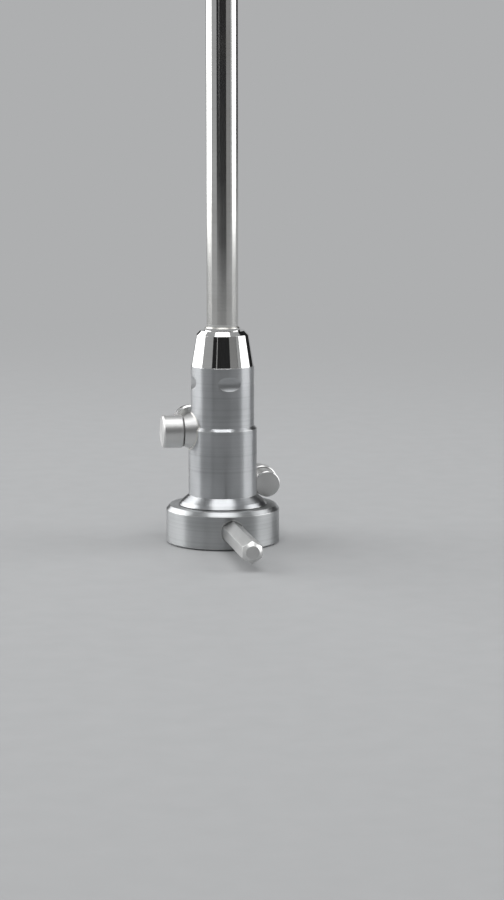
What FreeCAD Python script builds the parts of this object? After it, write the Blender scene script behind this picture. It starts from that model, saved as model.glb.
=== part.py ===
"""Cystoscope sheath standing on its locking ring, built as separate pieces in millimetres.

The origin is the centre of the ring's resting face and +Z runs up the sheath's axis to the beak.
The lever pin points to -Y, the inflow valve to -X and the drain valve lies beside the hub at +X.
"""
import FreeCAD, Part
import os
import re
import Sketcher

# Every driving size, in millimetres or degrees, with what it measures.
SIZES = [
    ("shaft_radius", 3.5, "outside of the sheath tube, 21 Fr"),
    ("shaft_wall", 0.3, "wall of the sheath tube"),
    ("shaft_root", 3.42, "outside of the tube's root inside the hub and the nose"),
    ("shaft_lead", 0.8, "length of the slight cone between the tube's root and its outside"),
    ("shaft_seat", 33.5, "height at which the tube starts inside the hub"),
    ("working_length", 215.0, "from the top of the nose to the end of the beak"),
    ("tip_length", 9.0, "length of the beak"),
    ("tip_taper", 0.1, "how much slimmer the beak gets towards its rounding"),
    ("tip_wall", 2.6, "thickness of the closed end of the beak"),
    ("tip_round", 2.9, "rounding of the beak"),
    ("tip_window", 1.4, "height at which the slanted window starts on the beak"),
    ("tip_slant", 50.0, "slope of the window, in degrees from level"),
    ("hub_radius", 7.0, "outside of the hub body"),
    ("hub_bottom", 1.9, "lower end of the hub body inside the ring"),
    ("hub_top", 39.4, "joint between the hub body and the nose"),
    ("seat_radius", 6.2, "bore that holds the seat bush"),
    ("seat_bore", 5.0, "bore of the seat bush"),
    ("seat_top", 8.6, "upper end of the seat bush"),
    ("seat_lead", 0.6, "lead-in chamfer of the seat bush"),
    ("seal_height", 1.7, "height of the mouth seal"),
    ("seal_lip", 4.55, "radius of the mouth seal's lip"),
    ("seal_bevel", 0.5, "bevel of the mouth seal"),
    ("seal_room", 0.05, "play round the mouth seal"),
    ("chamber_radius", 4.4, "bore of the irrigation chamber"),
    ("chamber_top", 32.4, "upper end of the straight chamber wall"),
    ("dimple_radius", 2.65, "radius of the cutter of the grip dimples"),
    ("dimple_depth", 0.5, "depth of a grip dimple"),
    ("dimple_height", 35.9, "height of the grip dimples"),
    ("dimple_turn", 3.0, "turn of the dimples round the hub, in degrees"),
    ("nose_foot", 6.93, "radius of the nose where it meets the hub"),
    ("nose_rim", 5.75, "radius of the nose at its upper rim"),
    ("nose_rim_height", 46.3, "height of the upper rim"),
    ("nose_top", 47.2, "upper face of the nose"),
    ("nose_crown", 4.9, "radius of the nose's upper face"),
    ("neck_radius", 3.95, "collar round the tube's root"),
    ("neck_height", 0.6, "height of that collar"),
    ("sleeve_radius", 7.57, "outside of the sleeve"),
    ("sleeve_foot", 2.3, "lower end of the sleeve above the ring"),
    ("sleeve_top", 26.1, "upper end of the sleeve"),
    ("sleeve_chamfer", 0.52, "chamfer on the sleeve's upper edge"),
    ("collar_radius", 9.75, "outside of the flange collar"),
    ("collar_gap", 0.15, "gap between the ring and the flange collar"),
    ("collar_shoulder", 9.15, "radius at which the collar's flatter cone starts"),
    ("collar_rim", 0.95, "height of that shoulder above the ring"),
    ("ring_radius", 12.55, "outside of the locking ring"),
    ("ring_clear", 0.6, "room between the drain housing and the locking ring below it"),
    ("ring_shoulder", 3.6, "shoulder that rides on the spring washer"),
    ("ring_recess", 9.6, "recess for the retaining ring"),
    ("ring_play", 0.05, "running clearance on the hub"),
    ("ring_chamfer", 0.75, "chamfer on the ring's upper edge, across"),
    ("ring_chamfer_drop", 0.9, "chamfer on the ring's upper edge, down"),
    ("ring_foot", 0.4, "chamfer on the ring's lower edge"),
    ("retainer_radius", 9.2, "outside of the retaining ring"),
    ("retainer_top", 3.05, "upper face of the retaining ring"),
    ("washer_inner", 7.1, "bore of the spring washer"),
    ("washer_outer", 9.1, "outside of the spring washer"),
    ("washer_thick", 0.4, "thickness of the spring washer"),
    ("washer_gap", 0.07, "gap under the spring washer"),
    ("cam_radius", 11.0, "seat of the cam plate in the ring"),
    ("cam_bore", 6.4, "opening of the cam plate"),
    ("cam_bottom", 0.0, "underside of the cam plate"),
    ("cam_top", 1.5, "upper face of the cam plate"),
    ("cam_gap", 0.05, "gap round the cam plate"),
    ("bayonet_reach", 8.2, "outer end of the bayonet slots from the axis"),
    ("bayonet_width", 3.2, "width of the bayonet slots"),
    ("screw_circle", 10.2, "circle of the cam plate's screws"),
    ("screw_radius", 0.5, "radius of a headless cam plate screw"),
    ("screw_length", 2.8, "length of a cam plate screw"),
    ("ring_turn", 40.0, "travel of the locking ring in degrees"),
    ("stop_circle", 8.3, "distance of the stop pin from the axis"),
    ("stop_radius", 0.6, "radius of the stop pin"),
    ("stop_room", 0.15, "room round the stop pin in its slot"),
    ("stop_depth", 1.65, "how deep the stop pin reaches into the ring"),
    ("stop_rise", 1.2, "how far the stop pin reaches above the ring"),
    ("slot_depth", 1.8, "depth of the slot for the stop pin"),
    ("lever_height", 4.2, "height of the lever pin's axis"),
    ("lever_seat", 12.2, "flat on the ring that the lever pin stands on, from the axis"),
    ("lever_seat_radius", 2.55, "radius of that flat"),
    ("lever_corner", 2.45, "radius over the corners of the lever pin"),
    ("lever_length", 24.6, "length of the lever pin from its seat"),
    ("lever_face", 1.45, "radius of the lever pin's end face"),
    ("lever_chamfer", 1.0, "length of the chamfer at the end face"),
    ("stud_radius", 1.4, "radius of the lever pin's stud"),
    ("stud_length", 3.0, "length of the lever pin's stud"),
    ("inflow_height", 24.9, "height of the inflow valve"),
    ("inflow_root", 4.05, "radius of the valve housing at the hub"),
    ("inflow_end", 3.35, "radius of the valve housing at the knob"),
    ("inflow_face", 8.9, "outer face of the valve housing from the axis"),
    ("key_bore", 1.9, "bore for the inflow key"),
    ("key_play", 0.05, "running clearance of the keys"),
    ("key_inner", 4.5, "inner end of the inflow key from the axis"),
    ("key_channel", 1.0, "bore inside the inflow key"),
    ("port_channel", 1.1, "channel to the inflow port"),
    ("port_offset", 5.8, "distance of the inflow port's axis from the YZ plane"),
    ("port_rise", 0.6, "how far the inflow port's axis lies above the key's"),
    ("port_neck", 2.4, "radius of the neck of the inflow port"),
    ("port_start", 7.75, "where the luer connector starts"),
    ("luer_length", 7.6, "length of a luer connector"),
    ("luer_body", 2.85, "radius of a luer connector"),
    ("luer_collar", 4.15, "radius of the collar at a luer connector's root"),
    ("luer_collar_length", 1.6, "length of that collar"),
    ("luer_lug", 3.9, "radius over the lugs of a luer connector"),
    ("luer_mouth", 2.135, "radius of the luer cone at its mouth"),
    ("luer_depth", 7.2, "depth of the luer cone"),
    ("knob_radius", 3.6, "radius of the inflow knob"),
    ("knob_gap", 0.15, "gap between a housing and its knob"),
    ("knob_length", 4.55, "length of the inflow knob"),
    ("knob_chamfer", 0.3, "chamfer of the inflow knob"),
    ("stem_radius", 1.2, "stem of the inflow key inside the knob"),
    ("stem_length", 2.6, "length of that stem"),
    ("spring_room", 2.6, "radius of the recess for the spring in the knob"),
    ("spring_depth", 0.65, "depth of that recess"),
    ("spring_outer", 2.4, "outside of the spring washer in a knob"),
    ("knob_pin_radius", 0.4, "radius of a knob's cross pin"),
    ("fixing_height", 15.9, "height of the fixing screws"),
    ("fixing_radius", 0.95, "radius of a fixing screw"),
    ("fixing_length", 1.8, "length of a fixing screw"),
    ("fixing_proud", 0.08, "how far a fixing screw lies below the sleeve"),
    ("drain_height", 11.9, "height of the drain valve's axis"),
    ("drain_offset", 10.8, "distance of the drain valve's axis from the YZ plane"),
    ("drain_front", 3.6, "front face of the drain cap, behind the XZ plane"),
    ("drain_cap_length", 0.75, "length of the drain cap"),
    ("drain_radius", 2.9, "radius of the drain housing"),
    ("drain_length", 4.8, "length of the drain housing"),
    ("drain_bore", 1.85, "bore for the drain key"),
    ("drain_neck", 1.6, "radius of the neck between hub and drain housing"),
    ("drain_flare", 3.2, "radius of the neck's flare at the hub"),
    ("drain_flare_end", 9.9, "distance from the axis at which the flare ends"),
    ("drain_neck_angle", 38.0, "direction of that neck, in degrees from +X"),
    ("drain_channel", 0.9, "channel through the neck"),
    ("drain_knob_radius", 3.3, "radius of the drain knob"),
    ("drain_knob_length", 2.4, "length of the drain knob"),
    ("drain_stem", 1.0, "stem of the drain key in its cap"),
    ("drain_port_length", 5.4, "length of the drain connector"),
    ("drain_port_body", 2.75, "radius of the drain connector"),
    ("drain_port_collar", 3.0, "radius of the collar at the drain connector's root"),
    ("drain_port_depth", 5.0, "depth of the luer cone in the drain connector"),
]

DIRECTIONS = {
    "+Z": FreeCAD.Vector(0, 0, 1),
    "-Z": FreeCAD.Vector(0, 0, -1),
    "+X": FreeCAD.Vector(1, 0, 0),
    "-X": FreeCAD.Vector(-1, 0, 0),
    "+Y": FreeCAD.Vector(0, 1, 0),
    "-Y": FreeCAD.Vector(0, -1, 0),
}
NAMES = {name for name, value, note in SIZES}

doc = FreeCAD.newDocument("cystoscope_sheath")
sheet = doc.addObject("Spreadsheet::Sheet", "Size")
for row, (name, value, note) in enumerate(SIZES, start=1):
    sheet.set(f"A{row}", name)
    sheet.set(f"B{row}", str(value))
    sheet.set(f"C{row}", note)
    sheet.setAlias(f"B{row}", name)
doc.recompute()


def bound(text):
    """The expression with each size's name pointed at its cell."""
    return re.sub(r"[a-z_]+", lambda m: "Size." + m.group() if m.group() in NAMES else m.group(), text)


def number(text):
    """The present value of an expression."""
    return float(sheet.evalExpression(bound(text)))


def outline(body, role, name, corners):
    """A closed sketch of straight edges whose corners are each tied to the sheet."""
    sketch = body.newObject("Sketcher::SketchObject", name)
    plane = [item for item in body.Origin.OriginFeatures if item.Role == role][0]
    sketch.AttachmentSupport = [(plane, "")]
    sketch.MapMode = "FlatFace"
    points = [FreeCAD.Vector(number(across), number(up), 0) for across, up in corners]
    count = len(points)
    for index in range(count):
        sketch.addGeometry(Part.LineSegment(points[index], points[(index + 1) % count]))
    for index in range(count):
        sketch.addConstraint(Sketcher.Constraint("Coincident", index, 2, (index + 1) % count, 1))
    for index, pair in enumerate(corners):
        for kind, text in zip(("DistanceX", "DistanceY"), pair):
            place = sketch.addConstraint(Sketcher.Constraint(kind, -1, 1, index, 1, number(text)))
            label = f"corner{index}_{kind[-1].lower()}"
            sketch.renameConstraint(place, label)
            sketch.setExpression(f"Constraints.{label}", bound(text))
    return sketch


def place(thing, x="0", y="0", z="0", along="+Z"):
    """Turn a thing's own Z axis to a direction and tie its place to the sheet."""
    turn = FreeCAD.Rotation(DIRECTIONS["+Z"], DIRECTIONS[along])
    thing.Placement = FreeCAD.Placement(FreeCAD.Vector(0, 0, 0), turn)
    for letter, text in zip("xyz", (x, y, z)):
        thing.setExpression(f"Placement.Base.{letter}", bound(text))
    return thing


def turned(label, corners, **where):
    """A body turned about its own Z axis from corners given as (radius, height)."""
    body = doc.addObject("PartDesign::Body", label)
    profile = outline(body, "XZ_Plane", label + "_profile", corners)
    lathe = body.newObject("PartDesign::Revolution", label + "_turned")
    lathe.Profile = profile
    lathe.ReferenceAxis = (profile, ["V_Axis"])
    lathe.Angle = 360
    return place(body, **where)


def prism(label, corners, length, **where):
    """A body padded along its own Z axis from corners given as (x, y)."""
    body = doc.addObject("PartDesign::Body", label)
    profile = outline(body, "XY_Plane", label + "_section", corners)
    pad = body.newObject("PartDesign::Pad", label + "_pad")
    pad.Profile = profile
    pad.setExpression("Length", bound(length))
    return place(body, **where)


def rod(label, radius, length, **where):
    """A plain cylinder, mostly used as a drill."""
    thing = doc.addObject("Part::Cylinder", label)
    thing.setExpression("Radius", bound(radius))
    thing.setExpression("Height", bound(length))
    return place(thing, **where)


def block(label, long, wide, tall, **where):
    """A plain box with its corner at the given place."""
    thing = doc.addObject("Part::Box", label)
    thing.setExpression("Length", bound(long))
    thing.setExpression("Width", bound(wide))
    thing.setExpression("Height", bound(tall))
    return place(thing, **where)


def swing(thing, degrees, about="+Z"):
    """Turn a placed thing further about a main axis through its own origin."""
    turn = FreeCAD.Rotation(DIRECTIONS[about], degrees)
    thing.Placement.Rotation = turn.multiply(thing.Placement.Rotation)
    return thing


def cut(label, base, *tools):
    """The base with every tool taken away."""
    result = doc.addObject("Part::Cut", label)
    result.Base = base
    result.Tool = tools[0] if len(tools) == 1 else joined(label + "_tools", *tools)
    return result


def joined(label, *things):
    """Several shapes fused into one."""
    result = doc.addObject("Part::MultiFuse", label)
    result.Shapes = list(things)
    return result


def shared(label, *things):
    """What several shapes have in common."""
    result = doc.addObject("Part::MultiCommon", label)
    result.Shapes = list(things)
    return result


def gathered(label, *things):
    """Several separate solids kept as one group."""
    result = doc.addObject("Part::Compound", label)
    result.Links = list(things)
    return result


def tube(label, inner, outer, bottom, top, **where):
    """A plain turned ring between two heights."""
    corners = [(inner, bottom), (outer, bottom), (outer, top), (inner, top)]
    return turned(label, corners, **where)


# Heights that follow from others: the drain valve lies close over the ring, and the collar and sleeve on it.
RING_TOP = "(drain_height - drain_radius - ring_clear)"
COLLAR_BOTTOM = f"({RING_TOP} + collar_gap)"
SLEEVE_BOTTOM = f"({RING_TOP} + sleeve_foot)"
SLOT_FLOOR = f"({RING_TOP} - slot_depth)"
SHAFT_TOP = "(nose_top + working_length - tip_length)"


# Shaft: the long tube and its beak.


def make_shaft():
    """The sheath tube, from its slimmer root in the hub to the beak."""
    bore = "shaft_radius - shaft_wall"
    shoulder = "nose_top + neck_height"
    return turned("shaft_tube", [
        (bore, "shaft_seat"), ("shaft_root", "shaft_seat"), ("shaft_root", shoulder),
        ("shaft_radius", f"{shoulder} + shaft_lead"), ("shaft_radius", SHAFT_TOP), (bore, SHAFT_TOP),
    ])


def make_beak():
    """The rounded beak with the slanted window that the view and the water pass through."""
    bore = "shaft_radius - shaft_wall"
    slim = "shaft_radius - tip_taper"
    blank = turned(
        "beak_blank",
        [("0", "tip_length - tip_wall"), (bore, "tip_length - tip_wall"), (bore, "0"),
         ("shaft_radius", "0"), (slim, "tip_length"), ("0", "tip_length")],
        z=SHAFT_TOP,
    )
    doc.recompute()
    lathe = blank.Tip
    top = number("tip_length")
    rim = [index for index, edge in enumerate(lathe.Shape.Edges, start=1)
           if edge.BoundBox.ZMin > top - 0.001 and edge.BoundBox.XMax > number(slim) - 0.001]
    rounding = blank.newObject("PartDesign::Fillet", "beak_round")
    rounding.Base = (lathe, [f"Edge{index}" for index in rim])
    rounding.setExpression("Radius", bound("tip_round"))
    blank.Tip = rounding
    window = block("beak_window", "4 * shaft_radius", "3 * tip_length", "3 * tip_length",
                   x="-2 * shaft_radius", y="-shaft_radius - 1", z=SHAFT_TOP + " + tip_window")
    swing(window, number("tip_slant"), about="+X")
    return cut("beak_tip", blank, window)


def make_nose():
    """The polished cone between the hub and the tube."""
    return turned("nose_cone", [
        ("shaft_root", "hub_top"), ("nose_foot", "hub_top"), ("nose_rim", "nose_rim_height"),
        ("nose_crown", "nose_top"), ("neck_radius", "nose_top"),
        ("neck_radius", "nose_top + neck_height"), ("shaft_root", "nose_top + neck_height"),
    ])


# Inflow valve at -X: the housing's outer form is also what the sleeve is cut away for.
def make_inflow_form():
    """The outer form of the inflow housing with the neck of its port."""
    cone = turned("inflow_cone", [
        ("0", "key_inner"), ("inflow_root", "key_inner"), ("inflow_root", "hub_radius - 0.4"),
        ("inflow_end", "inflow_face"), ("0", "inflow_face"),
    ], z="inflow_height", along="-X")
    neck = rod("inflow_neck", "port_neck", "port_start", x="-port_offset", z="inflow_height + port_rise", along="+Y")
    return joined("inflow_form", cone, neck)


def inflow_drills(label):
    """The bore for the key and the channel to the port."""
    bore = rod(label + "_bore", "key_bore", "inflow_face - chamber_radius + 1",
               x="-chamber_radius + 0.5", z="inflow_height", along="-X")
    channel = rod(label + "_channel", "port_channel", "port_start",
                  x="-port_offset", z="inflow_height + port_rise", along="+Y")
    return bore, channel


def make_inflow_housing(form):
    """The housing, saddled on the hub, with the key's bore and the port's channel."""
    saddle = rod("inflow_saddle", "hub_radius", "hub_top")
    return cut("inflow_housing", form, saddle, *inflow_drills("inflow_housing"))


def luer(label, body_radius, collar_radius, length, depth, **where):
    """A female luer-lock connector: root collar, turned body, 6 % cone and two lugs at the mouth."""
    throat = f"(luer_mouth - 0.03 * {depth})"
    blank = turned(label + "_blank", [
        ("port_channel", "0"), (f"{collar_radius} - 0.35", "0"), (collar_radius, "0.35"),
        (collar_radius, "luer_collar_length"), (body_radius, f"luer_collar_length + {collar_radius} - {body_radius}"),
        (body_radius, length), ("luer_mouth", length), (throat, f"{length} - {depth}"),
        ("port_channel", f"{length} - {depth}"),
    ])
    collar = tube(label + "_ring", f"{body_radius} - 0.5", "luer_lug", f"{length} - 1.7", f"{length} - 0.5")
    keep = block(label + "_keep", "2.6", "2 * luer_lug", "1.2",
                 x="-1.3", y="-luer_lug", z=f"{length} - 1.7")
    lugs = shared(label + "_lugs", collar, keep)
    return place(joined(label, blank, lugs), **where)


def make_inflow_port():
    """The inflow connector, turned so that its lugs lie across a slanting line."""
    port = luer("inflow_luer", "luer_body", "luer_collar", "luer_length", "luer_depth",
                x="-port_offset", y="port_start", z="inflow_height + port_rise", along="+Y")
    return swing(port, 45, about="+Y")


def make_inflow_key():
    """The hollow key that opens the port when its side hole meets the channel."""
    key = "key_bore - key_play"
    shoulder = "inflow_face - 0.1"
    tail = "inflow_face + knob_gap + stem_length"
    blank = turned("inflow_key_blank", [
        ("0", "key_inner + 3.9"), ("key_channel", "key_inner + 3.4"), ("key_channel", "key_inner"),
        (key, "key_inner"), (key, shoulder), ("stem_radius", shoulder), ("stem_radius", tail), ("0", tail),
    ], z="inflow_height", along="-X")
    window = rod("inflow_key_window", "port_channel", "2 * key_bore",
                 x="-port_offset", z="inflow_height + port_rise", along="+Y")
    pin_hole = rod("inflow_key_pin_hole", "knob_pin_radius", "2 * stem_radius + 1",
                   x="-inflow_face - knob_gap - 1.5", y="-stem_radius - 0.5", z="inflow_height", along="+Y")
    return cut("inflow_key", blank, window, pin_hole)


def make_inflow_knob():
    """The round knob that turns the inflow key."""
    face = "inflow_face + knob_gap"
    blank = turned("inflow_knob_blank", [
        ("0", f"{face} + stem_length"), ("stem_radius", f"{face} + stem_length"),
        ("stem_radius", f"{face} + spring_depth"), ("spring_room", f"{face} + spring_depth"),
        ("spring_room", face), ("knob_radius - knob_chamfer", face),
        ("knob_radius", f"{face} + knob_chamfer"),
        ("knob_radius", f"{face} + knob_length - knob_chamfer"),
        ("knob_radius - knob_chamfer", f"{face} + knob_length"), ("0", f"{face} + knob_length"),
    ], z="inflow_height", along="-X")
    pin_hole = rod("inflow_knob_pin_hole", "knob_pin_radius", "knob_radius + stem_radius + 1",
                   x="-inflow_face - knob_gap - 1.5", y="-stem_radius", z="inflow_height", along="+Y")
    return cut("inflow_knob", blank, pin_hole)


def make_inflow_small():
    """The spring washer under the inflow knob and the pin that holds the knob."""
    spring = tube("inflow_spring", "stem_radius + 0.1", "spring_outer", "inflow_face + 0.03",
                  "inflow_face + knob_gap + spring_depth - 0.03", z="inflow_height", along="-X")
    pin = rod("inflow_knob_pin", "knob_pin_radius", "knob_radius + stem_radius - 0.1",
              x="-inflow_face - knob_gap - 1.5", y="-stem_radius", z="inflow_height", along="+Y")
    return spring, pin


# Drain valve beside the hub at +X, with its axis along Y.
DRAIN_REAR = "(drain_front + drain_cap_length + drain_length)"


def drain_rod(label, radius, start, end):
    """A cylinder from the sheath's axis outwards along the drain neck."""
    angle = number("drain_neck_angle")
    way = FreeCAD.Rotation(DIRECTIONS["+Z"], angle).multVec(DIRECTIONS["+X"])
    thing = rod(label, radius, f"{end} - {start}", z="drain_height", along="+X")
    swing(thing, angle)
    thing.setExpression("Placement.Base.x", bound(f"({start}) * {way.x:.6f}"))
    thing.setExpression("Placement.Base.y", bound(f"({start}) * {way.y:.6f}"))
    return thing


def make_drain_neck():
    """The outer form of the drain's flared neck, which the sleeve and the collar are cut away for."""
    flare = turned("drain_flare_form", [
        ("0", "chamber_radius"), ("drain_flare", "chamber_radius"), ("drain_flare", "hub_radius + 0.3"),
        ("drain_neck", "drain_flare_end"), ("drain_neck", "drain_offset + 0.3"), ("0", "drain_offset + 0.3"),
    ], z="drain_height", along="+X")
    return swing(flare, number("drain_neck_angle"))


def make_drain_housing(neck_form):
    """The drain valve's housing with the neck that is brazed to the hub."""
    barrel = rod("drain_barrel", "drain_radius", "drain_length", x="drain_offset",
                 y="drain_front + drain_cap_length", z="drain_height", along="+Y")
    saddle = rod("drain_saddle", "hub_radius", "hub_top")
    bore = rod("drain_housing_bore", "drain_bore", "drain_length + 2", x="drain_offset",
               y="drain_front + drain_cap_length - 1", z="drain_height", along="+Y")
    room = rod("drain_cap_room", "drain_radius + 0.3", "drain_front + drain_cap_length", x="drain_offset",
               z="drain_height", along="+Y")
    channel = drain_rod("drain_housing_channel", "drain_channel", "0", "drain_offset + 1")
    neck = cut("drain_neck_cut", neck_form, room)
    return cut("drain_housing", joined("drain_form", barrel, neck), saddle, bore, channel)


def make_drain_key():
    """The hollow key of the drain, open to the rear."""
    key = "drain_bore - key_play"
    front = "drain_front + drain_cap_length"
    tail = f"{DRAIN_REAR} + knob_gap + drain_knob_length"
    middle = "(drain_front + drain_cap_length + 0.9)"
    blank = turned("drain_key_blank", [
        ("0", "drain_front + 0.25"), ("drain_stem", "drain_front + 0.25"), ("drain_stem", f"{front} + 0.1"),
        (key, f"{front} + 0.1"), (key, tail), ("port_channel", tail), ("port_channel", middle), ("0", middle),
    ], x="drain_offset", z="drain_height", along="+Y")
    window = drain_rod("drain_key_window", "drain_channel", "hub_radius", "drain_offset + 2.5")
    pin_hole = rod("drain_key_pin_hole", "knob_pin_radius", "drain_bore", x="drain_offset + port_channel - 0.2",
                   y=f"{DRAIN_REAR} + knob_gap + 1.2", z="drain_height", along="+X")
    return cut("drain_key", blank, window, pin_hole)


def make_drain_knob():
    """The round knob at the rear of the drain."""
    key = "drain_bore - key_play"
    start = f"{DRAIN_REAR} + knob_gap"
    blank = turned("drain_knob_blank", [
        (key, start), ("drain_knob_radius - 0.25", start), ("drain_knob_radius", f"{start} + 0.25"),
        ("drain_knob_radius", f"{start} + drain_knob_length - 0.25"),
        ("drain_knob_radius - 0.25", f"{start} + drain_knob_length"), (key, f"{start} + drain_knob_length"),
    ], x="drain_offset", z="drain_height", along="+Y")
    pin_hole = rod("drain_knob_pin_hole", "knob_pin_radius", "drain_knob_radius",
                   x="drain_offset + port_channel", y=f"{start} + 1.2", z="drain_height", along="+X")
    return cut("drain_knob", blank, pin_hole)


def make_drain_small():
    """The cap at the front of the drain key, the knob's pin and the drain connector."""
    cap = turned("drain_cap", [
        ("0", "drain_front"), ("drain_radius - 0.2", "drain_front"), ("drain_radius", "drain_front + 0.2"),
        ("drain_radius", "drain_front + drain_cap_length - 0.08"),
        ("drain_stem", "drain_front + drain_cap_length - 0.08"), ("drain_stem", "drain_front + 0.25"),
        ("0", "drain_front + 0.25"),
    ], x="drain_offset", z="drain_height", along="+Y")
    pin = rod("drain_knob_pin", "knob_pin_radius", "drain_knob_radius - port_channel - 0.1",
              x="drain_offset + port_channel", y=f"{DRAIN_REAR} + knob_gap + 1.2", z="drain_height", along="+X")
    port = luer("drain_luer", "drain_port_body", "drain_port_collar", "drain_port_length", "drain_port_depth",
                x="drain_offset", y=f"{DRAIN_REAR} + knob_gap + drain_knob_length", z="drain_height", along="+Y")
    return cap, pin, swing(port, -45, about="+Y")


# Hub: body, sleeve, collar and what sits in the mouth.
def fixing_drill(label, along):
    """The threaded hole of one fixing screw, through the sleeve into the hub's wall."""
    return rod(label, "fixing_radius", "fixing_length + 1", z="fixing_height", along=along,
               **fixing_start(along))


def fixing_start(along):
    """The inner end of a fixing screw, as the place of its cylinder."""
    letter = along[1].lower()
    return {letter: f"{along[0].replace('+', '')}(sleeve_radius - fixing_proud - fixing_length)"}


FIXINGS = ("-X", "+Y")


def make_fixing_screws():
    """The slotted screws that hold the sleeve to the hub."""
    screws = []
    for number_of, along in enumerate(FIXINGS):
        screw = rod(f"fixing_rod_{number_of}", "fixing_radius", "fixing_length", z="fixing_height", along=along,
                    **fixing_start(along))
        across = along[1] == "X"
        slot = block(f"fixing_slot_{number_of}", "0.6" if across else "0.3", "0.3" if across else "0.6",
                     "3 * fixing_radius",
                     x="-sleeve_radius - 0.1" if across else "-0.15",
                     y="-0.15" if across else "sleeve_radius - 0.5",
                     z="fixing_height - 1.5 * fixing_radius")
        screws.append(cut(f"fixing_screw_{number_of}", screw, slot))
    return gathered("fixing_screws", *screws)


def make_hub_body():
    """The hub body: stepped bore, grip dimples, valve bores and screw holes."""
    blank = turned("hub_blank", [
        ("seat_radius", "hub_bottom"), ("hub_radius", "hub_bottom"), ("hub_radius", "hub_top"),
        ("shaft_root", "hub_top"), ("shaft_root", "shaft_seat"), ("chamber_radius", "chamber_top"),
        ("chamber_radius", "seat_top + seal_height + 2 * seal_room"),
        ("seat_radius", "seat_top + seal_height + 2 * seal_room"),
    ])
    cutters = []
    centre = "(hub_radius - dimple_depth + dimple_radius)"
    for index in range(4):
        degrees = number("dimple_turn") + 90 * index
        away = FreeCAD.Rotation(DIRECTIONS["+Z"], degrees).multVec(DIRECTIONS["-Y"])
        side = FreeCAD.Rotation(DIRECTIONS["+Z"], degrees).multVec(DIRECTIONS["+X"])
        cutter = rod(f"dimple_{index}", "dimple_radius", "8", z="dimple_height", along="+X",
                     x=f"{centre} * {away.x:.6f} - 4 * {side.x:.6f}",
                     y=f"{centre} * {away.y:.6f} - 4 * {side.y:.6f}")
        cutters.append(swing(cutter, degrees))
    drills = [fixing_drill(f"hub_fixing_{along[1].lower()}", along) for along in FIXINGS]
    outlet = drain_rod("hub_drain_channel", "drain_channel", "0", "drain_offset")
    return cut("hub_body", blank, *cutters, *drills, outlet, *inflow_drills("hub_inflow"))


def make_sleeve(inflow_form, drain_neck):
    """The plain sleeve round the hub, cut away for the valves and the screws."""
    blank = turned("sleeve_blank", [
        ("hub_radius", SLEEVE_BOTTOM), ("sleeve_radius", SLEEVE_BOTTOM),
        ("sleeve_radius", "sleeve_top - 1.15 * sleeve_chamfer"), ("sleeve_radius - sleeve_chamfer", "sleeve_top"),
        ("hub_radius", "sleeve_top"),
    ])
    drills = [fixing_drill(f"sleeve_fixing_{along[1].lower()}", along) for along in FIXINGS]
    return cut("outer_sleeve", blank, inflow_form, drain_neck, *drills)


def make_collar(drain_neck):
    """The coned collar between the sleeve and the ring."""
    blank = turned("collar_blank", [
        ("hub_radius", COLLAR_BOTTOM), ("collar_radius", COLLAR_BOTTOM),
        ("collar_shoulder", f"{RING_TOP} + collar_rim"), ("sleeve_radius", SLEEVE_BOTTOM),
        ("hub_radius", SLEEVE_BOTTOM),
    ])
    hole = rod("collar_stop_hole", "stop_radius", "stop_rise + 1", y="stop_circle", z=f"{RING_TOP} - 1")
    return cut("flange_collar", blank, hole, drain_neck)


def make_mouth():
    """The seat bush, the lip seal above it, the retaining ring, its washer and the stop pin."""
    bush = turned("seat_bush", [
        ("seat_bore + seat_lead", "hub_bottom"), ("seat_radius", "hub_bottom"), ("seat_radius", "seat_top"),
        ("seat_bore", "seat_top"), ("seat_bore", "hub_bottom + seat_lead"),
    ])
    seal_foot = "seat_top + seal_room"
    seal = turned("mouth_seal", [
        ("seal_lip + seal_bevel", seal_foot), ("seat_radius - seal_room", seal_foot),
        ("seat_radius - seal_room", f"{seal_foot} + seal_height"),
        ("seal_lip + seal_bevel", f"{seal_foot} + seal_height"),
        ("seal_lip", f"{seal_foot} + seal_height / 2"),
    ])
    ring = tube("retainer_blank", "hub_radius", "retainer_radius", "hub_bottom", "retainer_top")
    notch = block("retainer_notch", "2 * retainer_radius + 2", "1.4", "0.6", x="-retainer_radius - 1", y="-0.7",
                  z="hub_bottom - 0.01")
    core = rod("retainer_core", "hub_radius + 0.4", "2", z="hub_bottom - 0.5")
    retainer = cut("retaining_ring", ring, cut("retainer_notches", notch, core))
    washer = tube("wave_washer", "washer_inner", "washer_outer", "retainer_top + washer_gap",
                  "retainer_top + washer_gap + washer_thick")
    stop = rod("stop_pin", "stop_radius", "stop_rise + stop_depth", y="stop_circle",
               z=f"{RING_TOP} - stop_depth")
    return bush, seal, retainer, washer, stop


# Locking ring: the ring, its lever pin, the cam plate and the plate's screws.
def make_stop_slot():
    """The curved slot that lets the ring turn from the stop pin by its travel."""
    half = "(stop_radius + stop_room)"
    outer = rod("slot_outer", f"stop_circle + {half}", "slot_depth + 1", z=SLOT_FLOOR)
    inner = rod("slot_inner", f"stop_circle - {half}", "slot_depth + 3", z=f"{SLOT_FLOOR} - 1")
    outer.setExpression("Angle", bound("ring_turn"))
    swing(outer, 90 - number("ring_turn"))
    ends = []
    for index, degrees in enumerate((90, 90 - number("ring_turn"))):
        way = FreeCAD.Rotation(DIRECTIONS["+Z"], degrees).multVec(DIRECTIONS["+X"])
        ends.append(rod(f"slot_end_{index}", half, "slot_depth + 1", z=SLOT_FLOOR,
                        x=f"stop_circle * {way.x:.6f}", y=f"stop_circle * {way.y:.6f}"))
    return joined("stop_slot", cut("slot_arc", outer, inner), *ends)


SCREW_ANGLES = (30, 150, 270)


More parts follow.
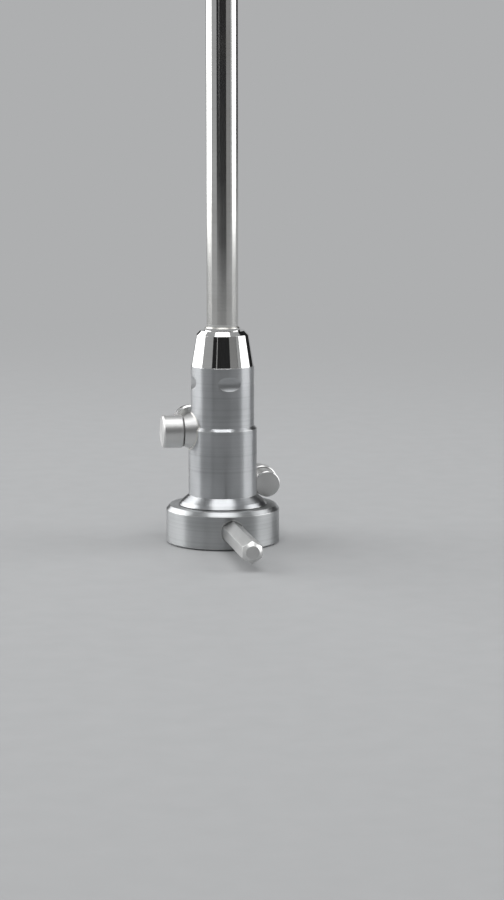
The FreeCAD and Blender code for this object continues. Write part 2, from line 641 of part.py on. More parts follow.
def screw_places():
    """The x and y of each cam plate screw, as expressions."""
    places = []
    for degrees in SCREW_ANGLES:
        way = FreeCAD.Rotation(DIRECTIONS["+Z"], degrees).multVec(DIRECTIONS["+X"])
        places.append((f"screw_circle * {way.x:.6f}", f"screw_circle * {way.y:.6f}"))
    return places


def screw_drills(label):
    """The hole of each cam plate screw."""
    return [rod(f"{label}_{index}", "screw_radius", "screw_length + 1", x=x, y=y, z="cam_bottom - 1")
            for index, (x, y) in enumerate(screw_places())]


def make_cam_screws():
    """The slotted headless screws that hold the cam plate in the ring."""
    screws = []
    for index, (x, y) in enumerate(screw_places()):
        blank = rod(f"cam_screw_blank_{index}", "screw_radius", "screw_length - 0.05", x=x, y=y,
                    z="cam_bottom + 0.05")
        slot = block(f"cam_screw_slot_{index}", "2 * screw_radius + 1", "0.2", "0.4",
                     x=f"{x} - screw_radius - 0.5", y=f"{y} - 0.1", z="cam_bottom - 0.1")
        screws.append(cut(f"cam_screw_{index}", blank, slot))
    return gathered("cam_screws", *screws)


def make_locking_ring():
    """The ring that the hand turns, with its bores, stop slot and the flat under the lever pin."""
    bore = "hub_radius + ring_play"
    blank = turned("ring_blank", [
        (bore, "ring_shoulder"), (bore, RING_TOP), ("ring_radius - ring_chamfer", RING_TOP),
        ("ring_radius", f"{RING_TOP} - ring_chamfer_drop"), ("ring_radius", "ring_foot"),
        ("ring_radius - ring_foot", "0"), ("cam_radius", "0"), ("cam_radius", "cam_top"),
        ("ring_recess", "cam_top"), ("ring_recess", "ring_shoulder"),
    ])
    flat = rod("lever_flat", "lever_seat_radius", "2", y="-lever_seat", z="lever_height", along="-Y")
    stud = rod("lever_stud_hole", "stud_radius", "stud_length + 1", y="-lever_seat + stud_length + 0.1",
               z="lever_height", along="-Y")
    return cut("locking_ring", blank, flat, stud, make_stop_slot(), *screw_drills("ring_screw"))


def make_lever_pin():
    """The six-sided lever pin with its turned end and threaded stud."""
    half = "lever_corner / 2"
    side = "lever_corner * 0.866025"
    corners = [("0", "lever_corner"), (f"-{side}", half), (f"-{side}", f"-{half}"),
               ("0", "-lever_corner"), (side, f"-{half}"), (side, half)]
    bar = prism("lever_bar", corners, "lever_length", y="-lever_seat", z="lever_height", along="-Y")
    lathe = turned("lever_turned", [
        ("0", "0"), ("lever_corner + 0.01", "0"), ("lever_corner + 0.01", "lever_length - lever_chamfer"),
        ("lever_face", "lever_length"), ("0", "lever_length"),
    ], y="-lever_seat", z="lever_height", along="-Y")
    stud = rod("lever_stud", "stud_radius", "stud_length", y="-lever_seat + stud_length",
               z="lever_height", along="-Y")
    return joined("lever_pin", shared("lever_handle", bar, lathe), stud)


def make_cam_plate():
    """The plate whose slots let the mating lugs in and whose rim holds them."""
    plate = tube("cam_blank", "cam_bore", "cam_radius - cam_gap", "cam_bottom", "cam_top")
    slot = block("cam_slot", "2 * bayonet_reach", "bayonet_width", "cam_top + 1", x="-bayonet_reach",
                 y="-bayonet_width / 2", z="cam_bottom - 0.5")
    return cut("cam_plate", plate, slot, *screw_drills("cam_screw_hole"))


inflow_form = make_inflow_form()
drain_neck = make_drain_neck()
seat_bush, mouth_seal, retaining_ring, wave_washer, stop_pin = make_mouth()
inflow_spring, inflow_knob_pin = make_inflow_small()
drain_cap, drain_knob_pin, drain_luer = make_drain_small()
pieces = {
    "shaft_tube": make_shaft(),
    "beak_tip": make_beak(),
    "nose_cone": make_nose(),
    "hub_body": make_hub_body(),
    "outer_sleeve": make_sleeve(inflow_form, drain_neck),
    "flange_collar": make_collar(drain_neck),
    "seat_bush": seat_bush,
    "mouth_seal": mouth_seal,
    "retaining_ring": retaining_ring,
    "wave_washer": wave_washer,
    "stop_pin": stop_pin,
    "fixing_screws": make_fixing_screws(),
    "inflow_housing": make_inflow_housing(inflow_form),
    "inflow_luer": make_inflow_port(),
    "inflow_key": make_inflow_key(),
    "inflow_knob": make_inflow_knob(),
    "inflow_spring": inflow_spring,
    "inflow_knob_pin": inflow_knob_pin,
    "drain_housing": make_drain_housing(drain_neck),
    "drain_key": make_drain_key(),
    "drain_cap": drain_cap,
    "drain_knob": make_drain_knob(),
    "drain_knob_pin": drain_knob_pin,
    "drain_luer": drain_luer,
    "locking_ring": make_locking_ring(),
    "lever_pin": make_lever_pin(),
    "cam_plate": make_cam_plate(),
    "cam_screws": make_cam_screws(),
}
doc.recompute()

for thing in doc.Objects:
    if "Invalid" in thing.State or "Error" in thing.State:
        raise RuntimeError(f"{thing.Name} failed: {thing.State}")
os.makedirs("parts", exist_ok=True)
for node, thing in pieces.items():
    shape = thing.Shape
    if shape.isNull() or not shape.isValid() or not shape.Solids:
        raise RuntimeError(f"{node} has no valid solid")
    thing.Label = node
    shape.exportStep(f"parts/{node}.step")
    print(f"{node}: {len(shape.Solids)} solid(s), {shape.Volume:.2f} mm3")
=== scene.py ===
"""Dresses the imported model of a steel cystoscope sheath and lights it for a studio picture.

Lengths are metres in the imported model's own frame: the origin lies on the table under the sheath's axis,
+Z runs up the tube to the beak, -Y along the lever pin and -X along the axis of the inflow knob.
"""

import logging
import math
from dataclasses import dataclass
from enum import Enum

import bpy
from mathutils import Matrix, Vector


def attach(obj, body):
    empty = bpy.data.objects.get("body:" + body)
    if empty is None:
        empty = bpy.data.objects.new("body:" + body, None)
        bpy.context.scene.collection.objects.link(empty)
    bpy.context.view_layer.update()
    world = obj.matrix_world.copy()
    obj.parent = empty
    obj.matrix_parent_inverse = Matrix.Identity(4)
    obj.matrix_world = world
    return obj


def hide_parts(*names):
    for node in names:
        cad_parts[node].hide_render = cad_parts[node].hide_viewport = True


MM = 0.001
SMOOTH_ANGLE = 35.0
PICTURE_HEIGHT_PX = 900
SENSOR_MM = 36.0
log = logging.getLogger("sheath")
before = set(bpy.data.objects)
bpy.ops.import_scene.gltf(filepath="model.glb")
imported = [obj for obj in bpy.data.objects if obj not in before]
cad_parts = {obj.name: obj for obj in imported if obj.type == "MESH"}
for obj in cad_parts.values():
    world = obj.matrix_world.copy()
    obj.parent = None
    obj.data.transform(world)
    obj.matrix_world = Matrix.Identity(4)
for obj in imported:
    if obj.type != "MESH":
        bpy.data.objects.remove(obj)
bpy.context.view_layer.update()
Socket = bpy.types.NodeSocket


class Working(Enum):
    """How a surface was made, which sets the run of its marks."""

    TURNED = "turned"
    DRAWN = "drawn"
    ROLLED = "rolled"


@dataclass(frozen=True)
class Line:
    """The line that a piece was turned about or drawn along.

    Attributes:
        way: Its direction.
        centre: A point on it, in metres.
    """

    way: tuple[float, float, float]
    centre: tuple[float, float, float]


INFLOW_HEIGHT = 24.9 * MM
SHEATH_LINE = Line((0.0, 0.0, 1.0), (0.0, 0.0, 0.0))
LEVER_LINE = Line((0.0, 1.0, 0.0), (0.0, 0.0, 4.2 * MM))
INFLOW_LINE = Line((1.0, 0.0, 0.0), (0.0, 0.0, INFLOW_HEIGHT))
PORT_LINE = Line((0.0, 1.0, 0.0), (-5.8 * MM, 0.0, 25.5 * MM))
DRAIN_LINE = Line((0.0, 1.0, 0.0), (10.8 * MM, 0.0, 11.9 * MM))


def linear(code: str) -> tuple[float, float, float, float]:
    """Turns an sRGB hex colour to linear values.

    Args:
        code: The colour as "#rrggbb".

    Returns:
        Linear red, green, blue and an alpha of 1.
    """
    parts = [int(code[i:i + 2], 16) / 255 for i in (1, 3, 5)]
    flat = [p / 12.92 if p <= 0.04045 else ((p + 0.055) / 1.055) ** 2.4 for p in parts]
    return (flat[0], flat[1], flat[2], 1.0)


def add_node(tree: bpy.types.NodeTree, kind: str, values: dict | None = None,
             links: dict | None = None, **settings: object) -> bpy.types.Node:
    """Adds one shader node with its settings, socket values and incoming links.

    Args:
        tree: The node tree it goes into.
        kind: The node's Blender type name.
        values: Values of its input sockets by name or index.
        links: Output sockets to join to its inputs, by name or index.
        **settings: Properties of the node itself.

    Returns:
        The new node.
    """
    item = tree.nodes.new(kind)
    for key, value in settings.items():
        setattr(item, key, value)
    for key, value in (values or {}).items():
        item.inputs[key].default_value = value
    for key, socket in (links or {}).items():
        tree.links.new(socket, item.inputs[key])
    return item


def blank_material(name: str) -> tuple[bpy.types.Material, bpy.types.NodeTree]:
    """Makes a material with an empty node tree.

    Args:
        name: The material's name.

    Returns:
        The material and its tree.
    """
    material = bpy.data.materials.new(name)
    material.use_nodes = True
    material.node_tree.nodes.clear()
    return material, material.node_tree


# Width of the water and finger marks on every steel surface, and depth of the marks of working.
CLOUD_MM = 9.0
MARK_DEPTH_MM = 0.01
# Steel rubbed clean on a broken edge.
RUBBED_STEEL = "#e6e6e5"
# How little the drawing marks change along a drawn piece, against across it.
DRAWN_SHARE = 0.015


@dataclass(frozen=True)
class Steel:
    """Stainless steel with the marks that its making and its handling leave.

    Attributes:
        name: The material's name, for how the surface was made.
        pale: Its colour where it is clean.
        worn: Its colour where handling and water marks dull it.
        gloss: Roughness of the clean surface.
        haze: Roughness of the dulled surface.
        working: How the surface was made.
        line: The line that it was turned about or drawn along.
        pitch_mm: Distance between marks.
        depth: Strength of the marks in the shading.
        stretch: How far the marks draw a highlight out across them, from 0 to 1.
        edge_mm: Radius of the broken edges.
    """

    name: str
    pale: str
    worn: str
    gloss: float
    haze: float
    working: Working
    line: Line
    pitch_mm: float
    depth: float
    stretch: float
    edge_mm: float = 0.08

    def run_of_marks(self, tree: bpy.types.NodeTree, facing: Socket) -> tuple[Socket, Socket]:
        """Works out where the marks lie and across which way they draw a highlight.

        Args:
            tree: The material's tree.
            facing: The surface's normal.

        Returns:
            Coordinates for the marks' noise, and the tangent.
        """
        place = add_node(tree, "ShaderNodeTexCoord").outputs["Object"]
        offset = add_node(tree, "ShaderNodeVectorMath", {1: self.line.centre}, {0: place},
                          operation="SUBTRACT").outputs["Vector"]
        along = add_node(tree, "ShaderNodeVectorMath", {1: self.line.way}, {0: offset},
                         operation="DOT_PRODUCT").outputs["Value"]
        foot = add_node(tree, "ShaderNodeVectorMath", {0: self.line.way}, {"Scale": along},
                        operation="SCALE").outputs["Vector"]
        out = add_node(tree, "ShaderNodeVectorMath", links={0: offset, 1: foot},
                       operation="SUBTRACT").outputs["Vector"]
        rim = add_node(tree, "ShaderNodeVectorMath", {0: self.line.way}, {1: out},
                       operation="CROSS_PRODUCT").outputs["Vector"]
        if self.working is Working.TURNED:
            radius = add_node(tree, "ShaderNodeVectorMath", links={0: out},
                              operation="LENGTH").outputs["Value"]
            where = add_node(tree, "ShaderNodeCombineXYZ", links={"X": along, "Y": radius}).outputs["Vector"]
            across = add_node(tree, "ShaderNodeVectorMath", links={0: rim, 1: facing},
                              operation="CROSS_PRODUCT")
            return where, across.outputs["Vector"]
        if self.working is Working.DRAWN:
            # The noise runs on far longer along the pin than across it.
            short = add_node(tree, "ShaderNodeVectorMath", {"Scale": DRAWN_SHARE}, {0: foot},
                             operation="SCALE").outputs["Vector"]
            where = add_node(tree, "ShaderNodeVectorMath", links={0: out, 1: short},
                             operation="ADD").outputs["Vector"]
            side = add_node(tree, "ShaderNodeVectorMath", {0: self.line.way}, {1: facing},
                            operation="CROSS_PRODUCT").outputs["Vector"]
            # On an end face the side vector vanishes and the far shorter rim vector takes over.
            across = add_node(tree, "ShaderNodeVectorMath", links={0: side, 1: rim}, operation="ADD")
            return where, across.outputs["Vector"]
        return offset, out

    def build(self) -> bpy.types.Material:
        """Makes the material.

        Returns:
            A node material on Object coordinates.
        """
        material, tree = blank_material(self.name)
        broken = add_node(tree, "ShaderNodeBevel", {"Radius": self.edge_mm * MM}, samples=4).outputs["Normal"]
        facing = add_node(tree, "ShaderNodeNewGeometry").outputs["Normal"]
        where, across = self.run_of_marks(tree, facing)
        place = add_node(tree, "ShaderNodeTexCoord").outputs["Object"]
        marks = add_node(tree, "ShaderNodeTexNoise",
                         {"Scale": 1 / (self.pitch_mm * MM), "Detail": 4.0, "Roughness": 0.65},
                         {"Vector": where}).outputs["Fac"]
        cloud = add_node(tree, "ShaderNodeTexNoise",
                         {"Scale": 1 / (CLOUD_MM * MM), "Detail": 2.0, "Roughness": 0.4},
                         {"Vector": place}).outputs["Fac"]
        patch = add_node(tree, "ShaderNodeMapRange", {"From Min": 0.4, "From Max": 0.85},
                         {"Value": cloud}).outputs["Result"]
        # The marks hold grime, so they show as fine darker lines too.
        lines = add_node(tree, "ShaderNodeMapRange", {"From Min": 0.48, "From Max": 0.75, "To Max": 0.5},
                         {"Value": marks}).outputs["Result"]
        grime = add_node(tree, "ShaderNodeMath", links={0: lines, 1: patch}, operation="ADD",
                         use_clamp=True).outputs["Value"]
        tint = add_node(tree, "ShaderNodeMix", {6: linear(self.pale), 7: linear(self.worn)}, {0: grime},
                        data_type="RGBA").outputs[2]
        dull = add_node(tree, "ShaderNodeMath", {1: 0.45}, {0: marks, 2: patch},
                        operation="MULTIPLY_ADD").outputs["Value"]
        rough = add_node(tree, "ShaderNodeMapRange",
                         {"From Min": 0.1, "From Max": 1.3, "To Min": self.gloss, "To Max": self.haze},
                         {"Value": dull}).outputs["Result"]
        # Broken edges are rubbed brighter and smoother than the faces beside them.
        same = add_node(tree, "ShaderNodeVectorMath", links={0: broken, 1: facing},
                        operation="DOT_PRODUCT").outputs["Value"]
        edge = add_node(tree, "ShaderNodeMapRange", {"From Min": 0.985, "From Max": 0.9},
                        {"Value": same}).outputs["Result"]
        rubbed = add_node(tree, "ShaderNodeMix", {7: linear(RUBBED_STEEL)}, {0: edge, 6: tint},
                          data_type="RGBA").outputs[2]
        rim = add_node(tree, "ShaderNodeMix", {3: self.gloss}, {0: edge, 2: rough}).outputs[0]
        bump = add_node(tree, "ShaderNodeBump", {"Strength": self.depth, "Distance": MARK_DEPTH_MM * MM},
                        {"Height": marks, "Normal": broken}).outputs["Normal"]
        shader = add_node(tree, "ShaderNodeBsdfPrincipled", {"Metallic": 1.0, "Anisotropic": self.stretch},
                          {"Base Color": rubbed, "Roughness": rim, "Normal": bump, "Tangent": across})
        add_node(tree, "ShaderNodeOutputMaterial", links={"Surface": shader.outputs["BSDF"]})
        return material


@dataclass(frozen=True)
class Rubber:
    """Moulded black nitrile rubber: matt, with a fine bloom.

    Attributes:
        name: The material's name.
        deep: Its colour.
        bloom: The colour of the bloom on it.
        grain_mm: Width of the moulded grain.
        grain_depth_mm: Depth of the grain.
    """

    name: str = "moulded_nitrile_rubber"
    deep: str = "#1b1b1c"
    bloom: str = "#2c2c2d"
    grain_mm: float = 0.4
    grain_depth_mm: float = 0.02

    def build(self) -> bpy.types.Material:
        """Makes the material.

        Returns:
            A node material on Object coordinates.
        """
        material, tree = blank_material(self.name)
        place = add_node(tree, "ShaderNodeTexCoord").outputs["Object"]
        skin = add_node(tree, "ShaderNodeTexNoise", {"Scale": 1 / (self.grain_mm * MM), "Detail": 3.0},
                        {"Vector": place}).outputs["Fac"]
        tint = add_node(tree, "ShaderNodeMix", {6: linear(self.deep), 7: linear(self.bloom)}, {0: skin},
                        data_type="RGBA").outputs[2]
        bump = add_node(tree, "ShaderNodeBump", {"Strength": 0.2, "Distance": self.grain_depth_mm * MM},
                        {"Height": skin})
        shader = add_node(tree, "ShaderNodeBsdfPrincipled", {"Roughness": 0.6},
                          {"Base Color": tint, "Normal": bump.outputs["Normal"]})
        add_node(tree, "ShaderNodeOutputMaterial", links={"Surface": shader.outputs["BSDF"]})
        return material


# Tube polished while it turns: a mirror whose highlights run on up and down it as bright bands.
POLISHED_TUBE = Steel("polished_tube_steel", "#dcdcda", "#cbcac7", 0.09, 0.17, Working.TURNED, SHEATH_LINE,
                      0.3, 0.06, 0.8)
# Turned and buffed cone: the clearest mirror on the piece.
MIRROR_NOSE = Steel("turned_mirror_steel", "#dededd", "#cfcfcd", 0.04, 0.09, Working.TURNED, SHEATH_LINE,
                    0.25, 0.05, 0.3)
# Turned and satin chromed body: lathe lines run round it and draw each highlight out up and down.
# They are drawn about four times as coarse as real ones, so that they still show in the picture.
SATIN_HUB = Steel("turned_satin_chromed_steel", "#b5b7b9", "#96989a", 0.29, 0.37, Working.TURNED, SHEATH_LINE,
                  0.45, 0.35, 0.85, 0.2)
# The ring is handled most, so its satin is duller and more marked.
SATIN_RING = Steel("turned_satin_ring_steel", "#b9bbbc", "#9a9c9d", 0.31, 0.41, Working.TURNED, SHEATH_LINE,
                   0.5, 0.35, 0.8, 0.22)
# Turned, then blasted and buffed: a soft bright sheen without a clear reflection.
BRIGHT_INFLOW = Steel("turned_bright_inflow_steel", "#dcdcdb", "#cfcfce", 0.4, 0.48, Working.TURNED, INFLOW_LINE,
                      0.2, 0.12, 0.2)
# Turned and buffed connector, the glossiest piece of this valve: small sharp highlights.
BRIGHT_PORT = Steel("turned_bright_port_steel", "#d4d4d3", "#c4c4c3", 0.22, 0.34, Working.TURNED, PORT_LINE,
                    0.2, 0.2, 0.4)
# The drain valve is handled wet and has gone a little greyer and duller than the inflow valve.
BRIGHT_DRAIN = Steel("turned_bright_drain_steel", "#cfcfce", "#c2c2c1", 0.32, 0.42, Working.TURNED, DRAIN_LINE,
                     0.2, 0.08, 0.4)
# Drawn six-sided bar: faint lines along it, flats that each take one even tone.
DRAWN_PIN = Steel("drawn_hexagon_steel", "#d6d6d5", "#c6c6c5", 0.36, 0.46, Working.DRAWN, LEVER_LINE,
                  0.25, 0.15, 0.3, 0.2)
# Rolled spring strip: darker and bluer than the turned steel, with no clear lines.
SPRING_STEEL = Steel("rolled_spring_steel", "#a6a5a2", "#8d8c89", 0.25, 0.4, Working.ROLLED, SHEATH_LINE,
                     0.4, 0.1, 0.0)
# Silver solder, left as it froze: a soft pale line between two steel pieces.
SILVER_SOLDER = Steel("frozen_silver_solder", "#d8d7d3", "#c6c4be", 0.24, 0.38, Working.ROLLED, SHEATH_LINE,
                      0.5, 0.3, 0.0)
# Black seal, matt beside all the bright steel.
SEAL_RUBBER = Rubber()

DRESS = {
    POLISHED_TUBE: ("shaft_tube", "beak_tip"),
    MIRROR_NOSE: ("nose_cone",),
    SATIN_HUB: ("hub_body", "outer_sleeve", "flange_collar", "seat_bush", "retaining_ring", "stop_pin",
                "fixing_screws"),
    SATIN_RING: ("locking_ring", "cam_plate", "cam_screws"),
    BRIGHT_INFLOW: ("inflow_housing", "inflow_key", "inflow_knob", "inflow_knob_pin"),
    BRIGHT_PORT: ("inflow_luer",),
    BRIGHT_DRAIN: ("drain_housing", "drain_key", "drain_cap", "drain_knob", "drain_knob_pin", "drain_luer"),
    DRAWN_PIN: ("lever_pin",),
    SPRING_STEEL: ("wave_washer", "inflow_spring"),
    SEAL_RUBBER: ("mouth_seal",),
}


def dress_nodes() -> None:
    """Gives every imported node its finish."""
    for finish, names in DRESS.items():
        material = finish.build()
        for name in names:
            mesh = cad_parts[name].data
            mesh.materials.clear()
            mesh.materials.append(material)
        log.info("%s on %s", finish.name, ", ".join(names))


def settle(piece: bpy.types.Object, name: str, body: str, finish: bpy.types.Material) -> None:
    """Names a finished piece, dresses it and lets it ride on its body.

    Args:
        piece: The finished object.
        name: Its name.
        body: The body it moves with.
        finish: Its material.
    """
    bpy.ops.object.select_all(action="DESELECT")
    piece.select_set(True)
    bpy.context.view_layer.objects.active = piece
    bpy.ops.object.transform_apply(location=True, rotation=True, scale=True)
    bpy.ops.object.shade_smooth_by_angle(angle=math.radians(SMOOTH_ANGLE))
    piece.name = name
    piece.data.name = name
    piece.data.materials.clear()
    piece.data.materials.append(finish)
    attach(piece, body)
    log.info("%s: %d faces on %s", name, len(piece.data.polygons), body)


@dataclass
class SolderWork:
    """The silver solder that joins the tube and the inflow valve's housing to the hub.

    Attributes:
        tube_radius: Outside of the tube.
        neck_top: Height of the neck's upper face.
        fillet: Size of the fillet round the tube.
        hollow: How far the fillet's upper half keeps its reach outwards.
        overlap: How far solder sinks into the steel.
        hub_radius: Outside of the hub body.
        sleeve_radius: Outside of the sleeve.
        sleeve_top: Upper end of the sleeve.
        sleeve_step: Height over which the bead climbs from the hub to the sleeve.
        bead: Radius of the bead round the inflow housing.
        squash: How far the bead is flattened against the wall.
        sink: How far the bead's middle is sunk into the wall.
        inflow_root: Radius of the inflow housing at the hub.
    """

    tube_radius: float = 3.5 * MM
    neck_top: float = 47.8 * MM
    fillet: float = 0.28 * MM
    hollow: float = 0.75
    overlap: float = 0.02 * MM
    hub_radius: float = 7.0 * MM
    sleeve_radius: float = 7.57 * MM
    sleeve_top: float = 26.1 * MM
    sleeve_step: float = 0.5 * MM
    bead: float = 0.22 * MM
    squash: float = 0.8
    sink: float = 0.05 * MM
    inflow_root: float = 4.05 * MM

    def tube_fillet(self, finish: bpy.types.Material) -> None:
        """Runs a hollow fillet between the tube and the nose's neck.

        Args:
            finish: The solder's material.
        """
        bpy.ops.object.select_all(action="DESELECT")
        bpy.ops.mesh.primitive_torus_add(major_segments=96, minor_segments=16,
                                         major_radius=self.tube_radius, minor_radius=self.fillet,
                                         location=(0, 0, self.neck_top))
        ring = bpy.context.object
        for vertex in ring.data.vertices:
            radius = math.hypot(vertex.co.x, vertex.co.y)
            out = max(radius - self.tube_radius, 0.0)
            hollow = self.hollow if out > 0 and vertex.co.z > 0 else 1.0
            sunk = self.overlap if out == 0 else 0.0
            squeeze = (self.tube_radius + out * hollow - sunk) / radius
            vertex.co.x *= squeeze
            vertex.co.y *= squeeze
            vertex.co.z = max(vertex.co.z, -self.overlap)
        settle(ring, "tube_solder", "hub", finish)

    def wall(self, height: float) -> float:
        """The radius of what the inflow housing stands on at a height.

        Args:
            height: Height over the table.

        Returns:
            The hub's or the sleeve's radius.
        """
        step = min(max((self.sleeve_top - height) / self.sleeve_step, 0.0), 1.0)
        return self.hub_radius + (self.sleeve_radius - self.hub_radius) * step

    def inflow_bead(self, finish: bpy.types.Material) -> None:
        """Lays a bead round the root of the inflow housing, following the saddle.

        Args:
            finish: The solder's material.
        """
        bpy.ops.object.select_all(action="DESELECT")
        bpy.ops.mesh.primitive_torus_add(major_segments=96, minor_segments=14,
                                         major_radius=self.inflow_root, minor_radius=self.bead,
                                         location=(0, 0, 0), rotation=(0, math.pi / 2, 0))
        bead = bpy.context.object
        bpy.ops.object.transform_apply(location=True, rotation=True, scale=True)
        for vertex in bead.data.vertices:
            across = vertex.co.y
            height = vertex.co.z + INFLOW_HEIGHT
            wall = self.wall(height)
            saddle = math.sqrt(max(wall * wall - across * across, 0.0))
            vertex.co.x = vertex.co.x * self.squash - saddle + self.sink
            vertex.co.z = height
        settle(bead, "inflow_solder", "hub", finish)

    def build(self) -> None:
        """Builds all the solder."""
        finish = SILVER_SOLDER.build()
        self.tube_fillet(finish)
        self.inflow_bead(finish)


@dataclass
class Beak:
    """The beak with the softened rim that keeps it from cutting.

    Attributes:
        rim: Radius of the softened edge.
        sharp: Angle from which an edge is softened, in degrees.
        flat: Angle up to which neighbouring faces are merged first, in degrees.
        weld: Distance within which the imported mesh's corners are merged.
    """

    rim: float = 0.14 * MM
    sharp: float = 40.0
    flat: float = 1.5
    weld: float = 0.001 * MM

    def build(self) -> None:
        """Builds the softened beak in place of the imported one."""
        bpy.ops.object.select_all(action="DESELECT")
        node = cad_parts["beak_tip"]
        beak = bpy.data.objects.new("beak_soft", node.data.copy())
        bpy.context.scene.collection.objects.link(beak)
        beak.select_set(True)
        bpy.context.view_layer.objects.active = beak
        bpy.ops.object.mode_set(mode="EDIT")
        bpy.ops.mesh.select_all(action="SELECT")
        bpy.ops.mesh.remove_doubles(threshold=self.weld)
        bpy.ops.mesh.dissolve_limited(angle_limit=math.radians(self.flat))
        bpy.ops.object.mode_set(mode="OBJECT")
        soften = beak.modifiers.new("soften", "BEVEL")
        soften.width = self.rim
        soften.segments = 3
        soften.limit_method = "ANGLE"
        soften.angle_limit = math.radians(self.sharp)
        bpy.ops.object.modifier_apply(modifier="soften")
        settle(beak, "beak_soft", "hub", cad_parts["shaft_tube"].data.materials[0])
        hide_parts("beak_tip")


# The point that every lamp faces, at the hub.
AIM = (0.0, 0.0, 0.06)


@dataclass(frozen=True)
class Softbox:
    """A soft lamp that faces the sheath.

    Attributes:
        name: Its name.
        bearing: Degrees round the axis from the camera's own bearing, positive to the right.
        distance: Level distance from the axis.
        height: Height of its middle.
        size: Its width and height.
        radiance: How bright its face is, where 1 is white.
    """

    name: str
    bearing: float
    distance: float
    height: float
    size: tuple[float, float]
    radiance: float

    def build(self, bearing_of_camera: float) -> None:
        """Adds the lamp.

        Args:
            bearing_of_camera: The camera's own bearing, in degrees.
        """
        data = bpy.data.lights.new(self.name, "AREA")
        data.shape = "RECTANGLE"
        data.size, data.size_y = self.size
        data.energy = self.radiance * math.pi * self.size[0] * self.size[1]
        lamp = bpy.data.objects.new(self.name, data)
        bpy.context.scene.collection.objects.link(lamp)
        turn = math.radians(bearing_of_camera + self.bearing)
        lamp.location = (math.sin(turn) * self.distance, -math.cos(turn) * self.distance, self.height)
        aim = Vector(AIM) - lamp.location
        lamp.rotation_euler = aim.to_track_quat("-Z", "Y").to_euler()
        lamp.visible_camera = False


SOFTBOXES = (
    Softbox("left_key", -116.0, 0.95, 0.3, (1.3, 1.2), 2.6),
    Softbox("right_key", 96.0, 1.0, 0.3, (0.8, 1.2), 2.3),
    Softbox("right_fill", 44.0, 1.5, 0.3, (0.8, 1.2), 0.25),
    Softbox("front_strip", -22.0, 1.5, 0.45, (0.06, 0.8), 0.5),
    Softbox("overhead", 0.0, 0.12, 1.1, (0.75, 0.7), 2.7),
    Softbox("front_top", 0.0, 0.68, 0.95, (1.0, 0.24), 2.4),
)


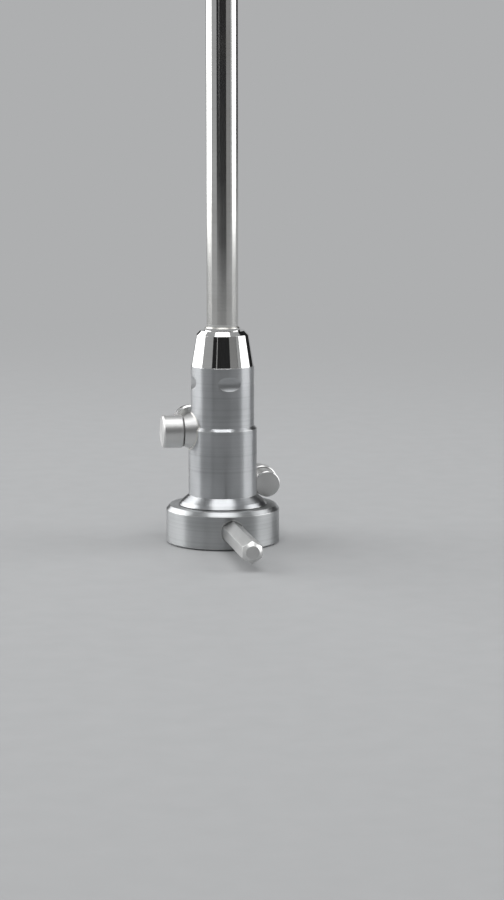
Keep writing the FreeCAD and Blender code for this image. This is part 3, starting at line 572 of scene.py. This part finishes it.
@dataclass
class Studio:
    """The pale floor, the dark cloths, the soft lights and the camera.

    Attributes:
        floor_tone: The floor's colour.
        floor_speck: The colour of the specks in its paint.
        floor_size: Width and length of the floor.
        floor_front: How far the floor reaches towards the camera, to just behind it.
        fade_start: Distance from the sheath at which the floor starts to melt into the backdrop.
        fade_end: Distance at which it has.
        cloth_hangs: Bearing from the camera's own, in degrees, and width of each dark cloth.
        cloth_height: Height of the dark cloths.
        cloth_middle: Height of their middle over the floor.
        cloth_distance: Distance of the dark cloths from the sheath.
        cloth_wave: Depth of the waves that a hanging cloth falls into.
        cloth_turns: How close those waves stand, in radians a metre.
        focal_px: Focal length in pixels of the 504 by 900 picture.
        azimuth: The camera's bearing from -Y, in degrees.
        reach: Its level distance from the sheath's axis.
        height: Its height over the table.
        tilt: How far it looks down, in degrees.
        yaw: How far it turns right of the axis, in degrees.
    """

    floor_tone: str = "#aeafb0"
    floor_speck: str = "#a6a7a8"
    floor_size: float = 24.0
    floor_front: float = 0.62
    fade_start: float = 0.1
    fade_end: float = 0.5
    cloth_hangs: tuple[tuple[float, float], ...] = ((10.0, 4.2), (-150.0, 1.3), (138.0, 1.1))
    cloth_height: float = 3.0
    cloth_middle: float = 0.4
    cloth_distance: float = 1.75
    cloth_wave: float = 0.02
    cloth_turns: float = 9.0
    focal_px: float = 2592.0
    azimuth: float = -9.84
    reach: float = 0.5683
    height: float = 0.1073
    tilt: float = 8.687
    yaw: float = 0.655

    def camera(self) -> None:
        """Sets the camera where the photograph was taken."""
        data = bpy.data.cameras.new("picture_camera")
        data.sensor_width = SENSOR_MM
        data.lens = self.focal_px / PICTURE_HEIGHT_PX * SENSOR_MM
        data.clip_start, data.clip_end = 0.01, 100.0
        camera = bpy.data.objects.new("picture_camera", data)
        bpy.context.scene.collection.objects.link(camera)
        bearing = math.radians(self.azimuth)
        camera.location = (math.sin(bearing) * self.reach, -math.cos(bearing) * self.reach, self.height)
        turn = Matrix.Rotation(bearing - math.radians(self.yaw), 3, "Z") @ Matrix.Rotation(
            math.radians(90 - self.tilt), 3, "X")
        camera.rotation_euler = turn.to_euler()
        bpy.context.scene.camera = camera

    def floor(self) -> None:
        """Lays the floor, which melts into the backdrop with distance."""
        bpy.ops.object.select_all(action="DESELECT")
        bpy.ops.mesh.primitive_plane_add(size=self.floor_size, location=(0, 0, 0))
        floor = bpy.context.object
        floor.name = "studio_floor"
        for vertex in floor.data.vertices:
            vertex.co.y = max(vertex.co.y, -self.floor_front)
        # Board under matt grey paint: an even pale tone with specks too faint to draw the eye.
        material, tree = blank_material("painted_board")
        place = add_node(tree, "ShaderNodeTexCoord").outputs["Object"]
        speck = add_node(tree, "ShaderNodeTexNoise", {"Scale": 160.0, "Detail": 5.0},
                         {"Vector": place}).outputs["Fac"]
        tint = add_node(tree, "ShaderNodeMix", {6: linear(self.floor_tone), 7: linear(self.floor_speck)},
                        {0: speck}, data_type="RGBA").outputs[2]
        board = add_node(tree, "ShaderNodeBsdfPrincipled", {"Roughness": 0.6}, {"Base Color": tint})
        glow = add_node(tree, "ShaderNodeEmission", {"Color": linear(self.floor_tone), "Strength": 1.0})
        distance = add_node(tree, "ShaderNodeVectorMath", links={0: place}, operation="LENGTH").outputs["Value"]
        far = add_node(tree, "ShaderNodeMapRange", {"From Min": self.fade_start, "From Max": self.fade_end},
                       {"Value": distance}, interpolation_type="SMOOTHSTEP").outputs["Result"]
        ray = add_node(tree, "ShaderNodeLightPath")
        direct = add_node(tree, "ShaderNodeMath", operation="ADD",
                          links={0: ray.outputs["Is Camera Ray"], 1: ray.outputs["Is Glossy Ray"]}).outputs["Value"]
        seen = add_node(tree, "ShaderNodeMath", operation="ADD",
                        links={0: direct, 1: ray.outputs["Is Transmission Ray"]}).outputs["Value"]
        share = add_node(tree, "ShaderNodeMath", links={0: far, 1: seen}, operation="MULTIPLY").outputs["Value"]
        mixed = add_node(tree, "ShaderNodeMixShader",
                         links={0: share, 1: board.outputs["BSDF"], 2: glow.outputs["Emission"]})
        add_node(tree, "ShaderNodeOutputMaterial", links={"Surface": mixed.outputs["Shader"]})
        floor.data.materials.append(material)

    def cloths(self) -> None:
        """Hangs dark cloths round the room, which give the polished pieces their dark bands."""
        # Woven black cotton, seen only as a dark matt tone in the polished steel.
        material, tree = blank_material("black_woven_cloth")
        shader = add_node(tree, "ShaderNodeBsdfPrincipled",
                          {"Base Color": linear("#2e2e2f"), "Roughness": 0.9})
        add_node(tree, "ShaderNodeOutputMaterial", links={"Surface": shader.outputs["BSDF"]})
        for number, (bearing, width) in enumerate(self.cloth_hangs):
            turn = math.radians(self.azimuth + bearing)
            bpy.ops.object.select_all(action="DESELECT")
            bpy.ops.mesh.primitive_grid_add(x_subdivisions=24, y_subdivisions=2, size=1.0,
                                            rotation=(math.pi / 2, 0, turn),
                                            location=(math.sin(turn) * self.cloth_distance,
                                                      -math.cos(turn) * self.cloth_distance,
                                                      self.cloth_middle))
            cloth = bpy.context.object
            cloth.name = f"dark_cloth_{number}"
            cloth.data.transform(Matrix.Diagonal((width, self.cloth_height, 1.0, 1.0)))
            for vertex in cloth.data.vertices:
                vertex.co.z += self.cloth_wave * math.sin(vertex.co.x * self.cloth_turns)
            cloth.data.materials.append(material)
            cloth.visible_camera = False

    def room(self) -> None:
        """Sets the world to the tone of the backdrop on every side."""
        world = bpy.data.worlds.new("studio_room")
        world.use_nodes = True
        tree = world.node_tree
        tree.nodes.clear()
        back = add_node(tree, "ShaderNodeBackground", {"Color": linear(self.floor_tone), "Strength": 1.0})
        add_node(tree, "ShaderNodeOutputWorld", links={"Surface": back.outputs["Background"]})
        bpy.context.scene.world = world

    def build(self) -> None:
        """Builds the whole studio."""
        self.camera()
        self.floor()
        self.cloths()
        self.room()
        for softbox in SOFTBOXES:
            softbox.build(self.azimuth)
        bpy.context.scene.view_settings.view_transform = "Standard"


def main() -> None:
    """Builds the pieces in order and reports each of them."""
    logging.basicConfig(level=logging.INFO, format="%(name)s: %(message)s")
    dress_nodes()
    SolderWork().build()
    Beak().build()
    Studio().build()


if __name__ == "__main__":
    main()
